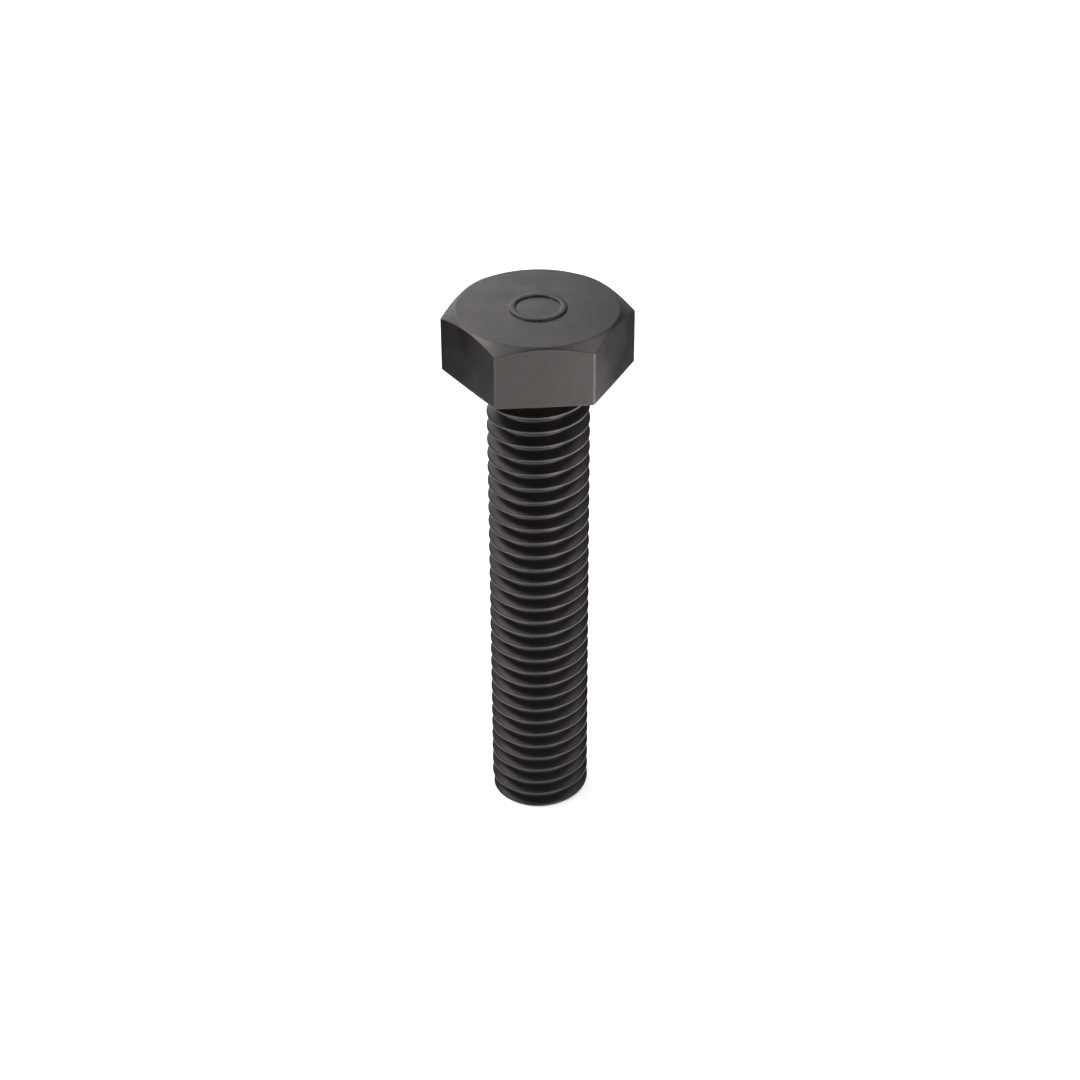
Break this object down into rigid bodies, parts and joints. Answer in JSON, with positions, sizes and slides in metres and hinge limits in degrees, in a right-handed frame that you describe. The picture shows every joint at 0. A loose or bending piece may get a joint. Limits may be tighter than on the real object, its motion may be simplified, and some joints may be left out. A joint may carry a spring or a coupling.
{
  "type": "hex bolt",
  "caption": "Hexagon-head bolt with a full-length metric thread and a chamfered head, for clamping parts with a nut or a tapped hole.",
  "frame": {"origin": "centre of the flat thread end", "axes": "+Z along the bolt's axis towards the head; two flats face -Y and +Y, and two corners point along -X and +X"},
  "size_m": [0.0148, 0.0128, 0.0451],
  "materials": {
    "black_oxide_steel": "dark grey-brown oxide-blackened steel, satin"
  },
  "bodies": {
    "root": {"hex_bolt": "black_oxide_steel"}
  },
  "joints": []
}
